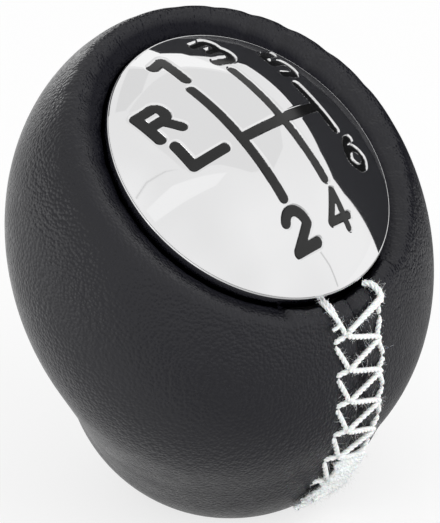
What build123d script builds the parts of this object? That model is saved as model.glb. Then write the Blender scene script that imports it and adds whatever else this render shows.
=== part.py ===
"""Gear shift knob: a padded leather head laced up the driver's side, on a moulded core, under a slanted chrome cap.

Millimetres. +Z runs up the lever, +Y points forward and the laced seam faces the driver at -Y. The origin is
the middle of the flat foot, on the lever's axis.
"""

import os
from math import atan2, cos, degrees, radians, sin

from build123d import *

# Head: a flattened ball, turned from an oval about an axis that leans towards the driver
head_radius = 28.3
head_half_depth = 18.2
head_edge_radius = 12.9
head_tilt = 59.4
head_height = 29.95
head_forward = 1.05

# Rounded lower end, with a flat foot
bulb_radius = 19.2
bulb_height = 16.5
waist_blend = 4.5
foot_round = 0.4

# Chrome cap
cap_diameter = 36.0
cap_tilt = 37.0
cap_rise = 11.8
cap_shift = 3.65
cap_dome = 5.7
cap_rim_depth = 1.8
cap_rim_wall = 1.7
cap_edge_bevel = 0.25
peg_diameter = 2.6
peg_circle_diameter = 20.0
peg_count = 3

# Shift pattern sunk into the cap
column_pitch = 7.05
gate_top = 10.4
gate_bottom = -7.2
gate_cross = 1.65
short_gate_top = 5.7
short_gate_bottom = -2.2
reverse_gate_top = 5.4
reverse_gate_reach = 5.0
numeral_width = 3.0
upper_numeral_height = 3.8
lower_numeral_height = 4.3
numeral_gap = 0.55
numeral_lean = 0.8
stroke_width = 1.1
groove_depth = 0.7
inlay_depth = 0.35
inlay_gap = 0.02

# Leather and how it is held
shoulder_drop = 0.15
shoulder_lean = 1.6
shoulder_round = 1.85
leather_edge = 1.2
glue_gap = 0.1
cap_gap = 0.25
seam_width = 0.5
seam_depth = 0.9

# Core
post_diameter = 26.0
post_bottom = 5.5
post_top = 36.0
neck_diameter = 19.2
neck_bottom = 3.0
dish_diameter = 32.0
dish_depth = 6.0

# Plate that traps the leather's upper edge
plate_overlap = 1.6
plate_thickness = 1.0
plate_gap = 0.15
boss_diameter = 10.0
boss_length = 6.0

# Lever socket
lever_diameter = 12.0
socket_depth = 28.0
sleeve_wall = 1.8
sleeve_roof = 2.0
sleeve_recess = 0.3
sleeve_gap = 0.05
flange_width = 0.8
flange_thickness = 1.2
socket_bevel = 0.6
key_count = 4
key_width = 1.4
key_height = 1.0
key_length = 16.0
clip_wire = 0.7
clip_thickness = 1.0
clip_gap_angle = 60.0
clip_clearance = 0.1
clip_bottom = 1.9

# Lacing
thread_diameter = 0.62
thread_sides = 6
thread_gap = 0.18
stitch_pitch_angle = 11.3
stitch_rows = 7
rim_hole_angle = 34.2
first_hole_angle = 21.2
loop_rise_angle = 2.3
seam_hub_height = 18.0
hole_row_spacing = 7.6
loop_spacing = 5.1

cap_radius = cap_diameter / 2
bore_radius = lever_diameter / 2
sleeve_radius = bore_radius + sleeve_wall
sleeve_top = sleeve_recess + socket_depth + sleeve_roof
flange_radius = sleeve_radius + flange_width
clip_outer_radius = bore_radius + clip_clearance + clip_wire
dome_radius = (cap_radius**2 + cap_dome**2) / (2 * cap_dome)
plate_radius = cap_radius - cap_rim_wall - plate_gap
plate_top = plate_thickness - cap_rim_depth
core_top = -cap_rim_depth - leather_edge

cap_axis = Vector(0, -sin(radians(cap_tilt)), cos(radians(cap_tilt)))
cap_forward = Vector(0, cos(radians(cap_tilt)), sin(radians(cap_tilt)))
head_axis = Vector(0, -sin(radians(head_tilt)), cos(radians(head_tilt)))
head_centre = Vector(0, head_forward, head_height)
cap_plane = Plane(
    origin=head_centre + cap_axis * cap_rise + cap_forward * cap_shift,
    x_dir=(1, 0, 0),
    z_dir=cap_axis,
)
dome_centre = cap_plane.offset(cap_dome - dome_radius)
head_profile = Plane(origin=head_centre, x_dir=(1, 0, 0), z_dir=head_axis.cross(Vector(-1, 0, 0)))


def outer_form(inset=0.0):
    """Head and lower end in one smooth form, cut off at the cap and at the foot, inset from the leather's surface."""
    radius = head_radius - inset
    half_depth = head_half_depth - inset
    edge_radius = head_edge_radius - inset
    edge_centre = radius - edge_radius
    flat_radius = (half_depth**2 + edge_centre**2 - edge_radius**2) / (2 * (half_depth - edge_radius))
    flat_centre = flat_radius - half_depth
    turn = degrees(atan2(flat_centre, edge_centre))
    with BuildPart() as form:
        with BuildSketch(head_profile):
            with BuildLine():
                lower = CenterArc((0, flat_centre), flat_radius, -90, 90 - turn)
                CenterArc((edge_centre, 0), edge_radius, -turn, 2 * turn)
                upper = CenterArc((0, -flat_centre), flat_radius, turn, 90 - turn)
                Line(upper @ 1, lower @ 0)
            make_face()
        revolve(axis=Axis(head_centre, head_axis))
        with Locations((0, 0, bulb_height)):
            Sphere(bulb_radius - inset)
        fillet(form.edges(Select.NEW), waist_blend + inset)
        split(bisect_by=cap_plane.offset(-shoulder_drop).rotated((shoulder_lean, 0, 0)), keep=Keep.BOTTOM)
        split(bisect_by=Plane.XY, keep=Keep.TOP)
        shoulder = form.faces().filter_by(GeomType.PLANE).sort_by(Axis.Z)[-1]
        fillet(shoulder.edges(), shoulder_round)
        foot = form.faces().filter_by(GeomType.PLANE).sort_by(Axis.Z)[0]
        fillet(foot.edges(), foot_round)
    return form.part


def core_form(growth):
    """The hard core, grown all round by growth: a post on the lever's axis and a dish under the cap."""
    with BuildPart() as form:
        with BuildSketch(Plane.XY.offset(neck_bottom - growth)):
            Circle(neck_diameter / 2 + growth)
        extrude(amount=post_bottom - neck_bottom)
        with BuildSketch(Plane.XY.offset(post_bottom - growth)):
            Circle(post_diameter / 2 + growth)
        extrude(amount=post_top - post_bottom + 2 * growth)
        with BuildSketch(cap_plane.offset(core_top - dish_depth - growth)):
            Circle(dish_diameter / 2 + growth)
        extrude(amount=dish_depth + growth)
        split(bisect_by=cap_plane.offset(core_top), keep=Keep.BOTTOM)
    return form.part


def pen(stroke, width):
    """Trace a line with a round pen."""
    for edge in stroke.edges():
        trace(edge, line_width=width)
    with Locations(*stroke.vertices()):
        Circle(width / 2)


def draw_one(a, t, width):
    with BuildLine() as stroke:
        Polyline((-0.8 * a, 0.8 * t), (0.1 * a, t), (0.1 * a, -t))
    pen(stroke, width)


def draw_two(a, t, width):
    with BuildLine() as stroke:
        bow = ThreePointArc((-a, 0.6 * t), (0, t), (0.8 * a, 0.1 * t))
        Polyline(bow @ 1, (-a, -t), (a, -t))
    pen(stroke, width)


def draw_three(a, t, width):
    with BuildLine() as stroke:
        top = Line((-0.8 * a, t), (0.2 * a, t))
        upper = ThreePointArc(top @ 1, (0.9 * a, 0.55 * t), (0.2 * a, 0.1 * t))
        Line(upper @ 1, (-0.3 * a, 0.1 * t))
        lower = ThreePointArc(upper @ 1, (a, -0.45 * t), (0.2 * a, -t))
        Line(lower @ 1, (-a, -0.8 * t))
    pen(stroke, width)


def draw_four(a, t, width):
    with BuildLine() as stroke:
        Polyline((0.5 * a, -t), (0.5 * a, t), (-a, -0.4 * t), (a, -0.4 * t))
    pen(stroke, width)


def draw_five(a, t, width):
    with BuildLine() as stroke:
        hook = Polyline((a, t), (-0.8 * a, t), (-0.9 * a, 0.2 * t), (0.2 * a, 0.2 * t))
        bow = ThreePointArc(hook @ 1, (a, -0.4 * t), (0.2 * a, -t))
        Line(bow @ 1, (-a, -0.8 * t))
    pen(stroke, width)


def draw_six(a, t, width):
    ring = 0.85 * a
    with BuildLine() as stroke:
        ThreePointArc((0.7 * a, t), (-0.6 * a, 0.4 * t), (-ring, ring - t))
    pen(stroke, width)
    with Locations((0, ring - t)):
        Circle(ring + width / 2)
        Circle(ring - width / 2, mode=Mode.SUBTRACT)


def draw_reverse(a, t, width):
    with BuildLine() as stroke:
        stem = Line((-a, -t), (-a, t))
        top = Line(stem @ 1, (0.2 * a, t))
        bow = ThreePointArc(top @ 1, (0.9 * a, 0.5 * t), (0.2 * a, 0))
        Line(bow @ 1, (-a, 0))
        Line(bow @ 1, (a, -t))
    pen(stroke, width)


def shift_pattern(width):
    """Faces of the gate lines and numerals, drawn on the cap's plane with a pen of one width."""
    reverse, first, third, fifth = [column_pitch * (place - 1.5) for place in range(4)]
    line_end = stroke_width / 2
    upper = upper_numeral_height / 2
    lower = lower_numeral_height / 2
    clear = numeral_gap + stroke_width / 2
    numerals = [
        (draw_one, first + 0.5 * numeral_lean, gate_top + clear + upper, upper),
        (draw_two, first + 0.25 * numeral_lean, gate_bottom - clear - lower, lower),
        (draw_three, third + numeral_lean, gate_top + clear + upper, upper),
        (draw_four, third - 0.75 * numeral_lean, gate_bottom - clear - lower, lower),
        (draw_five, fifth + 1.5 * numeral_lean, short_gate_top + clear + upper, upper),
        (draw_six, fifth + 0.75 * numeral_lean, short_gate_bottom - clear - upper, upper),
        (draw_reverse, reverse + numeral_lean, reverse_gate_top + clear + upper, upper),
    ]
    with BuildSketch(cap_plane) as lines:
        with BuildLine() as stroke:
            Line((first, gate_top - line_end), (first, gate_bottom + line_end))
            Line((third, gate_top - line_end), (third, gate_bottom + line_end))
            Line((fifth, short_gate_top - line_end), (fifth, short_gate_bottom + line_end))
            Line((first, gate_cross), (fifth, gate_cross))
            Polyline(
                (reverse, reverse_gate_top - line_end),
                (reverse, gate_cross),
                (reverse + reverse_gate_reach - line_end, gate_cross),
            )
        pen(stroke, width)
    faces = list(lines.sketch.faces())
    for draw, column, row, half_height in numerals:
        place = Plane(cap_plane.from_local_coords((column, row, 0)), x_dir=(1, 0, 0), z_dir=cap_axis)
        with BuildSketch(place) as glyph:
            draw(numeral_width / 2, half_height, width)
        faces += list(glyph.sketch.faces())
    return faces


def sunk_pattern(width, top_depth, bottom_depth):
    """The pattern as solids that follow the dome, from one depth below its surface to another."""
    with BuildPart() as sunk:
        extrude(shift_pattern(width), amount=cap_dome + groove_depth, both=True)
        with Locations(dome_centre.location):
            Sphere(dome_radius - top_depth, mode=Mode.INTERSECT)
            Sphere(dome_radius - bottom_depth, mode=Mode.SUBTRACT)
    return sunk.part


def seam_point(x, angle, lift):
    """A point beside the seam, x to the side of it, lifted clear of the leather."""
    out = Vector(0, -cos(radians(angle)), sin(radians(angle)))
    hits = outer.shells()[0].find_intersection_points(Axis((x, 0, seam_hub_height), out))
    point, normal = max(hits, key=lambda hit: hit[0].dot(out))
    return point + normal * lift


def laid_thread(points):
    """A thread laid straight from point to point."""
    with BuildPart() as thread:
        for start, end in zip(points, points[1:]):
            way = (end - start).normalized()
            with BuildSketch(Plane(start - way * thread_diameter / 4, z_dir=way)):
                RegularPolygon(thread_diameter / 2, thread_sides)
            extrude(amount=(end - start).length + thread_diameter / 2)
    return thread.part


outer = outer_form()

# Leather cover with its padding, hollow for the core, open at the cap and the lever, and butted along the seam
with BuildPart() as seam_slit:
    with BuildSketch(Plane.XZ):
        Rectangle(seam_width, 4 * head_radius)
    extrude(amount=head_radius)
    add(outer, mode=Mode.INTERSECT)
    add(outer_form(seam_depth), mode=Mode.SUBTRACT)

with BuildPart() as leather_cover:
    add(outer)
    add(core_form(glue_gap), mode=Mode.SUBTRACT)
    with BuildSketch(cap_plane.offset(-cap_rim_depth)):
        Circle(cap_radius + cap_gap)
    extrude(amount=cap_dome, mode=Mode.SUBTRACT)
    with BuildSketch(cap_plane.offset(core_top - glue_gap)):
        Circle(plate_radius - plate_overlap + plate_gap)
    extrude(amount=cap_dome, mode=Mode.SUBTRACT)
    with BuildSketch(Plane.XY):
        Circle(flange_radius + plate_gap)
    extrude(amount=sleeve_recess + flange_thickness + glue_gap, mode=Mode.SUBTRACT)
    with BuildSketch(Plane.XY):
        Circle(sleeve_radius + plate_gap)
    extrude(amount=neck_bottom, mode=Mode.SUBTRACT)
    add(seam_slit.part, mode=Mode.SUBTRACT)

# Core, moulded round the sleeve
with BuildPart() as core:
    add(core_form(0))
    with BuildSketch(Plane.XY):
        Circle(sleeve_radius + sleeve_gap)
        with PolarLocations(sleeve_radius, key_count):
            Rectangle(2 * (key_height + sleeve_gap), key_width + 2 * sleeve_gap)
    extrude(amount=sleeve_top + sleeve_gap, mode=Mode.SUBTRACT)
    with BuildSketch(cap_plane.offset(core_top)):
        Circle(boss_diameter / 2 + plate_gap)
    extrude(amount=-boss_length - plate_gap, mode=Mode.SUBTRACT)

# Sleeve that takes the lever, keyed into the core, with a flange that holds up the leather's lower edge
with BuildPart() as lever_sleeve:
    with BuildSketch(Plane.XY.offset(sleeve_recess)):
        Circle(flange_radius)
    extrude(amount=flange_thickness)
    with BuildSketch(Plane.XY.offset(sleeve_recess)):
        Circle(sleeve_radius)
    extrude(amount=sleeve_top - sleeve_recess)
    with BuildSketch(Plane.XY.offset(sleeve_top - key_length)):
        with PolarLocations(sleeve_radius, key_count):
            Rectangle(2 * key_height, key_width)
    extrude(amount=key_length)
    with BuildSketch(Plane.XY.offset(sleeve_recess)):
        Circle(bore_radius)
    extrude(amount=socket_depth, mode=Mode.SUBTRACT)
    with BuildSketch(Plane.XY.offset(clip_bottom - clip_clearance)):
        Circle(clip_outer_radius + clip_clearance)
    extrude(amount=clip_thickness + 2 * clip_clearance, mode=Mode.SUBTRACT)
    mouth = lever_sleeve.edges().filter_by(GeomType.CIRCLE).group_by(Axis.Z)[0].sort_by(SortBy.RADIUS)[0]
    chamfer(mouth, socket_bevel)

# Open spring ring in the mouth of the sleeve, which grips the lever
with BuildPart() as spring_clip:
    with BuildSketch(Plane.XY.offset(clip_bottom)):
        with BuildLine():
            CenterArc((0, 0), clip_outer_radius - clip_wire / 2, clip_gap_angle / 2, 360 - clip_gap_angle)
        trace(line_width=clip_wire)
    extrude(amount=clip_thickness)

# Plate under the cap, pressed into the core over the leather's upper edge
with BuildPart() as cap_plate:
    with BuildSketch(cap_plane.offset(core_top)):
        Circle(plate_radius - plate_overlap)
    extrude(amount=plate_top - core_top)
    with BuildSketch(cap_plane.offset(-cap_rim_depth)):
        Circle(plate_radius)
    extrude(amount=plate_thickness)
    with BuildSketch(cap_plane.offset(core_top)):
        Circle(boss_diameter / 2)
    extrude(amount=-boss_length)
    with BuildSketch(cap_plane.offset(plate_top)):
        with PolarLocations(peg_circle_diameter / 2, peg_count, start_angle=90):
            Circle(peg_diameter / 2 + plate_gap)
    extrude(amount=core_top - plate_top, mode=Mode.SUBTRACT)

# Domed chrome cap with the shift pattern sunk into it, hollowed over the plate and held by pegs
with BuildPart() as chrome_cap:
    with BuildSketch(cap_plane.offset(-cap_rim_depth)):
        Circle(cap_radius)
    extrude(amount=cap_rim_depth + cap_dome)
    with Locations(dome_centre.location):
        Sphere(dome_radius, mode=Mode.INTERSECT)
    brim = chrome_cap.faces().filter_by(GeomType.SPHERE).edges().filter_by(lambda edge: edge.is_closed)
    chamfer(brim, cap_edge_bevel)
    with BuildSketch(cap_plane.offset(-cap_rim_depth)):
        Circle(cap_radius - cap_rim_wall)
    extrude(amount=plate_thickness + plate_gap, mode=Mode.SUBTRACT)
    with BuildSketch(cap_plane.offset(core_top + plate_gap)):
        with PolarLocations(peg_circle_diameter / 2, peg_count, start_angle=90):
            Circle(peg_diameter / 2)
    extrude(amount=plate_top - core_top)
    add(sunk_pattern(stroke_width, 0, groove_depth), mode=Mode.SUBTRACT)

# Dark fill in the sunk pattern
with BuildPart() as pattern_inlay:
    add(sunk_pattern(stroke_width - 2 * inlay_gap, inlay_depth, groove_depth - inlay_gap))

# White threads: one sewn along each edge of the leather, and one laced between their loops
edge_lift = thread_diameter / 2 + thread_gap
lacing_lift = edge_lift + thread_diameter + thread_gap
hole_x = hole_row_spacing / 2
loop_x = loop_spacing / 2
start_angle = (rim_hole_angle + first_hole_angle + loop_rise_angle) / 2
left_points = [seam_point(-hole_x, rim_hole_angle, edge_lift), seam_point(-hole_x, start_angle, edge_lift)]
right_points = [seam_point(hole_x, rim_hole_angle, edge_lift)]
lacing_points = []
for row in range(stitch_rows):
    hole_angle = first_hole_angle - stitch_pitch_angle * row
    left_angle = hole_angle + loop_rise_angle
    right_angle = left_angle + stitch_pitch_angle / 2
    left_points.append(seam_point(-loop_x, left_angle, edge_lift))
    left_points.append(seam_point(-hole_x, hole_angle, edge_lift))
    right_points.append(seam_point(loop_x, right_angle, edge_lift))
    right_points.append(seam_point(hole_x, hole_angle, edge_lift))
    lacing_points.append(seam_point(loop_x, right_angle, lacing_lift))
    lacing_points.append(seam_point(-loop_x, left_angle, lacing_lift))

with BuildPart() as edge_stitch_left:
    add(laid_thread(left_points))

with BuildPart() as edge_stitch_right:
    add(laid_thread(right_points))

with BuildPart() as lacing_thread:
    add(laid_thread(lacing_points))

pieces = {
    "leather_cover": leather_cover,
    "core": core,
    "lever_sleeve": lever_sleeve,
    "spring_clip": spring_clip,
    "cap_plate": cap_plate,
    "chrome_cap": chrome_cap,
    "pattern_inlay": pattern_inlay,
    "edge_stitch_left": edge_stitch_left,
    "edge_stitch_right": edge_stitch_right,
    "lacing_thread": lacing_thread,
}

os.makedirs("parts", exist_ok=True)
for name, piece in pieces.items():
    piece.part.label = name
    export_step(piece.part, f"parts/{name}.step")
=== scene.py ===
# %% [markdown]
# A gear shift knob: black grained leather over a padded head, laced with white thread down the driver's
# side, under a slanted, domed chrome cap with the shift pattern sunk into it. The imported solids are
# loaded first. They stay where they are, and every piece made below is fitted to them.

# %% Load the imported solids
import math
import random

import bpy
import numpy as np
from mathutils import Matrix, Vector
from mathutils.bvhtree import BVHTree
from mathutils.geometry import tessellate_polygon


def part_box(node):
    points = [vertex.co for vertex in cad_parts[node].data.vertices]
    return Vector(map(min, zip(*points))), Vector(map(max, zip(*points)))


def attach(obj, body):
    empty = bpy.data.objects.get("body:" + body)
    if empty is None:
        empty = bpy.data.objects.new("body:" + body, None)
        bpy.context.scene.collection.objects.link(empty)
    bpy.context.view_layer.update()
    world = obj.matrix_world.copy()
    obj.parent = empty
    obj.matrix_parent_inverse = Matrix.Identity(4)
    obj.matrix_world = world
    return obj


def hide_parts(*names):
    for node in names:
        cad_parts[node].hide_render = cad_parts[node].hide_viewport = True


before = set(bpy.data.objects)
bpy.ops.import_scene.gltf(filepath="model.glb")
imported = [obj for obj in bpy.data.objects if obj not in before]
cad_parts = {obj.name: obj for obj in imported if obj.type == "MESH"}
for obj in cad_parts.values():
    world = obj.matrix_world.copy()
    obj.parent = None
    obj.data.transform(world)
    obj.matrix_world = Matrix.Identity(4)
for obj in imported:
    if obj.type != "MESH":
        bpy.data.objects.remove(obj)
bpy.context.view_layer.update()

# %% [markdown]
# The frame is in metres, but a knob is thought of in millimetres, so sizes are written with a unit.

MM = 0.001

# %% [markdown]
# The cap is the piece that everything else is measured from: the photograph shows its round edge as an
# ellipse, and that ellipse gives the viewing angle. Its tilt and its sizes are driving values. Its place
# is read from the solid's box: the lowest and the foremost point of the box lie on the lower edge of the
# cap's rim.

# %% Where the cap sits
CAP_RADIUS = 18.0 * MM
CAP_DOME = 5.7 * MM
CAP_RIM_DEPTH = 1.8 * MM
CAP_TILT = math.radians(37.0)
DOME_RADIUS = (CAP_RADIUS**2 + CAP_DOME**2) / (2 * CAP_DOME)

cap_right = Vector((1, 0, 0))
cap_ahead = Vector((0, math.cos(CAP_TILT), math.sin(CAP_TILT)))
cap_out = cap_right.cross(cap_ahead)
cap_axes = np.array([cap_right, cap_ahead, cap_out])
low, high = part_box("chrome_cap")
cap_centre = Vector((
    0,
    high[1] - CAP_RADIUS * math.cos(CAP_TILT) - CAP_RIM_DEPTH * math.sin(CAP_TILT),
    low[2] + CAP_RADIUS * math.sin(CAP_TILT) + CAP_RIM_DEPTH * math.cos(CAP_TILT),
))


def from_cap(points):
    """Points given as (right, ahead, out) on the cap, in the knob's frame."""
    return np.array(cap_centre) + np.asarray(points) @ cap_axes


print("cap centre:", [round(v / MM, 2) for v in cap_centre], "mm")

# %% [markdown]
# The camera. A long lens far away gives the flat perspective of a catalogue picture. Its axes are written
# in the cap's own directions, because they were measured on the cap's ellipse and on the gate lines.

# %% Camera
FRAME_WIDTH = 440
FRAME_HEIGHT = 523
CAP_PIXEL = (249.9, 165.2)
PIXELS_PER_METRE = 8811.0
CAMERA_DISTANCE = 0.6
SENSOR_WIDTH = 36.0
NEAREST_SEEN = 0.01
FARTHEST_SEEN = 20.0
VIEW_RIGHT_ON_CAP = (0.66111, -0.60183, 0.44804)
VIEW_UP_ON_CAP = (0.33742, 0.77184, 0.53889)

view_right = Vector(np.array(VIEW_RIGHT_ON_CAP) @ cap_axes).normalized()
view_up = Vector(np.array(VIEW_UP_ON_CAP) @ cap_axes).normalized()
view_back = view_right.cross(view_up).normalized()
view_up = view_back.cross(view_right)
target = (
    cap_centre
    + view_right * ((FRAME_WIDTH / 2 - CAP_PIXEL[0]) / PIXELS_PER_METRE)
    + view_up * ((CAP_PIXEL[1] - FRAME_HEIGHT / 2) / PIXELS_PER_METRE)
)
lens = bpy.data.cameras.new("camera")
lens.sensor_width = SENSOR_WIDTH
lens.lens = PIXELS_PER_METRE * CAMERA_DISTANCE * SENSOR_WIDTH / FRAME_HEIGHT
lens.clip_start = NEAREST_SEEN
lens.clip_end = FARTHEST_SEEN
camera = bpy.data.objects.new("camera", lens)
turned = Matrix((view_right, view_up, view_back)).transposed().to_4x4()
camera.matrix_world = Matrix.Translation(target + view_back * CAMERA_DISTANCE) @ turned
bpy.context.scene.collection.objects.link(camera)
bpy.context.scene.camera = camera
bpy.context.scene.view_settings.view_transform = "Standard"
print("lens:", round(lens.lens), "mm")

# %% [markdown]
# Each finish is a tree of shader nodes, so that it holds at any distance and needs no picture. Short
# helpers add a node with its settings, join two sockets, mix two shaders, lay a colour ramp over a grey
# value and spread noise over a piece.

# %% Helpers for materials
def add_node(tree, kind, values=None, **settings):
    """A shader node with its settings, and the default values of its named inputs."""
    made = tree.nodes.new(kind)
    for name, value in settings.items():
        setattr(made, name, value)
    for name, value in (values or {}).items():
        made.inputs[name].default_value = value
    return made


def join(tree, source, output, target_node, socket):
    """A link from one node's output to another node's input, each given by name or number."""
    tree.links.new(source.outputs[output], target_node.inputs[socket])


def blend(tree, share, output, first, second):
    """A mix of two shaders: the share says how much of the second one shows."""
    mix = add_node(tree, "ShaderNodeMixShader")
    join(tree, share, output, mix, "Fac")
    join(tree, first, 0, mix, 1)
    join(tree, second, 0, mix, 2)
    return mix


def ramp_between(tree, source, output, stops):
    """A colour ramp over a grey value, with stops given as (place, grey or colour)."""
    ramp = add_node(tree, "ShaderNodeValToRGB")
    while len(ramp.color_ramp.elements) < len(stops):
        ramp.color_ramp.elements.new(1.0)
    for element, (place, colour) in zip(ramp.color_ramp.elements, stops):
        element.position = place
        element.color = (*((colour,) * 3 if isinstance(colour, float) else colour), 1.0)
    join(tree, source, output, ramp, "Fac")
    return ramp


def noise_over(tree, scale, detail):
    """Noise spread over a piece, in the piece's own coordinates."""
    where = add_node(tree, "ShaderNodeTexCoord")
    noise = add_node(tree, "ShaderNodeTexNoise", {"Scale": scale, "Detail": detail})
    join(tree, where, "Object", noise, "Vector")
    return noise


def new_material(name, **values):
    """A material with the principled shader, whose plain values are set on its own sockets."""
    made = bpy.data.materials.new(name)
    made.use_nodes = True
    shader = made.node_tree.nodes["Principled BSDF"]
    for socket, value in values.items():
        shader.inputs[socket.replace("_", " ")].default_value = value
    return made, made.node_tree, shader


# %% [markdown]
# Pieces could be modelled by hand, but their shapes follow from measured values, so they are made from
# points and faces in code. Each one rides on the knob's only body, carries its finish and stands for the
# solids that it takes the place of, which are hidden.

# %% Helpers for pieces
def make_piece(name, points, faces, material, slot, *nodes):
    """A smooth mesh that rides on the knob and stands for the named solids."""
    mesh = bpy.data.meshes.new(name)
    mesh.from_pydata([tuple(p) for p in points], [], [tuple(int(i) for i in f) for f in faces])
    mesh.materials.append(material)
    mesh.validate()
    mesh.shade_smooth()
    piece = bpy.data.objects.new(name, mesh)
    bpy.context.scene.collection.objects.link(piece)
    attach(piece, "root")
    if nodes:
        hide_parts(*nodes)
    mesh.calc_loop_triangles()
    print(name, len(mesh.loop_triangles), "triangles")
    return piece


def grid_faces(rows, columns, wrapped):
    """Quads of a grid of points, counted row by row, closed round the columns if wrapped."""
    index = np.arange(rows * columns).reshape(rows, columns)
    if wrapped:
        index = np.hstack([index, index[:, :1]])
    corners = [index[:-1, :-1], index[1:, :-1], index[1:, 1:], index[:-1, 1:]]
    return np.stack(corners, axis=-1).reshape(-1, 4)


# %% [markdown]
# The studio. Small shiny things are photographed in a white tent: the chrome shows the white cloth, with
# faint folds in it, and one black card that the photographer stands beside the knob to give the dome an
# edge. The world is the tent. It is plain white to the camera, and nearly white, with soft folds, to
# everything else.

# %% White tent
CLOTH_SHADE = 0.83
CLOTH_WHITE = 0.90
FOLDS_ACROSS = 1.6

world = bpy.data.worlds.new("tent")
bpy.context.scene.world = world
world.use_nodes = True
tent = world.node_tree
tent.nodes.clear()
ray = add_node(tent, "ShaderNodeLightPath")
direction = add_node(tent, "ShaderNodeTexCoord")
folds = add_node(tent, "ShaderNodeTexNoise", {"Scale": FOLDS_ACROSS, "Detail": 1.0})
join(tent, direction, "Generated", folds, "Vector")
cloth = ramp_between(tent, folds, "Fac", [(0.35, CLOTH_SHADE), (0.65, CLOTH_WHITE)])
lit = add_node(tent, "ShaderNodeBackground", {"Strength": 1.0})
join(tent, cloth, "Color", lit, "Color")
white = add_node(tent, "ShaderNodeBackground", {"Color": (1, 1, 1, 1), "Strength": 1.0})
out = add_node(tent, "ShaderNodeOutputWorld")
join(tent, blend(tent, ray, "Is Camera Ray", lit, white), "Shader", out, "Surface")
print("tent cloth between", CLOTH_SHADE, "and", CLOTH_WHITE)

# %% [markdown]
# The floor is pale paper that keeps the knob's soft shadow. In the leather and the chrome it is not
# evenly bright: the paper in front of the knob is turned away from the light, the paper behind it is lit,
# close to the foot it lies in shade, and far out on the right it is white again. Those tones are given to
# shiny surfaces alone.

# %% Pale floor
FLOOR_SIZE = 6.0
FLOOR_DROP = 0.05 * MM
FLOOR_WHITENESS = 0.75
LIT_SIDE = (-0.70, 0.71, 0.0)
FALLOFF = 0.05
MIRRORED_FRONT = 0.48
MIRRORED_BACK = 1.0
WHITE_SIDE = (0.85, -0.50, 0.0)
WHITE_FROM = 0.07
WHITE_FULL = 0.14
FAR_WHITE = 0.92
FOOT_SHADE = 0.78
FOOT_SHADE_FROM = 0.012
FOOT_SHADE_END = 0.055

floor_paper, floor_tree, floor_shader = new_material(
    "floor_paper", Base_Color=(0.96, 0.96, 0.96, 1), Roughness=0.9
)
seen = add_node(floor_tree, "ShaderNodeLightPath")
floor_place = add_node(floor_tree, "ShaderNodeTexCoord")


def along(way):
    """How far a place on the floor lies in a direction."""
    measured = add_node(floor_tree, "ShaderNodeVectorMath", {1: way}, operation="DOT_PRODUCT")
    join(floor_tree, floor_place, "Object", measured, 0)
    return measured


def spread(distance, near, far, **settings):
    """A distance turned into a share that grows from none at the near value to all at the far one."""
    share = add_node(floor_tree, "ShaderNodeMapRange", {"From Min": near, "From Max": far}, **settings)
    join(floor_tree, distance, "Value", share, "Value")
    return share


lit_share = spread(along(LIT_SIDE), -FALLOFF, FALLOFF, interpolation_type="SMOOTHSTEP")
near_tone = ramp_between(floor_tree, lit_share, "Result", [(0.0, MIRRORED_FRONT), (1.0, MIRRORED_BACK)])
far_share = spread(along(WHITE_SIDE), WHITE_FROM, WHITE_FULL)
tone = add_node(floor_tree, "ShaderNodeMixRGB", {"Color2": (FAR_WHITE, FAR_WHITE, FAR_WHITE, 1)})
join(floor_tree, far_share, "Result", tone, "Fac")
join(floor_tree, near_tone, "Color", tone, "Color1")
from_foot = add_node(floor_tree, "ShaderNodeVectorMath", operation="LENGTH")
join(floor_tree, floor_place, "Object", from_foot, 0)
foot_shade = spread(from_foot, FOOT_SHADE_FROM, FOOT_SHADE_END)
foot_shade.inputs["To Min"].default_value = FOOT_SHADE
mirrored = add_node(floor_tree, "ShaderNodeEmission")
join(floor_tree, tone, "Color", mirrored, "Color")
join(floor_tree, foot_shade, "Result", mirrored, "Strength")

whiteness = add_node(floor_tree, "ShaderNodeMath", {1: FLOOR_WHITENESS}, operation="MULTIPLY")
join(floor_tree, seen, "Is Camera Ray", whiteness, 0)
paper_white = add_node(floor_tree, "ShaderNodeEmission", {"Color": (1, 1, 1, 1), "Strength": 1.0})
paper = blend(floor_tree, whiteness, "Value", floor_shader, paper_white)
paper_or_mirrored = blend(floor_tree, seen, "Is Glossy Ray", paper, mirrored)
join(floor_tree, paper_or_mirrored, "Shader", floor_tree.nodes["Material Output"], "Surface")

half = FLOOR_SIZE / 2
floor_corners = [(x * half, y * half, -FLOOR_DROP) for x, y in ((-1, -1), (1, -1), (1, 1), (-1, 1))]
floor_mesh = bpy.data.meshes.new("floor")
floor_mesh.from_pydata(floor_corners, [], [(0, 1, 2, 3)])
floor_mesh.materials.append(floor_paper)
floor = bpy.data.objects.new("floor", floor_mesh)
bpy.context.scene.collection.objects.link(floor)
print("floor", FLOOR_SIZE, "m across,", FLOOR_DROP / MM, "mm under the foot")

# %% [markdown]
# Three soft lamps. One in front lights the seam, so that the thread's white shows as white although the
# black leather round it sends back no light; it is kept out of the mirror of the chrome. A low panel to
# the left and a smaller one behind the knob are mirrored softly by the leather, which gets the pale sheen
# on its left from them.

# %% Soft lamps
LAMP_DISTANCE = 0.6
SEAM_LAMP = {"way": (0.25, -0.88, 0.40), "size": (0.5, 0.5), "power": 1.6}
SHEEN_LAMP = {"way": (0.50, 0.86, 0.06), "size": (0.24, 0.16), "power": 0.16}
SIDE_LAMP = {"way": (-0.80, 0.60, 0.06), "size": (0.9, 0.24), "power": 0.65}


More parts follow.
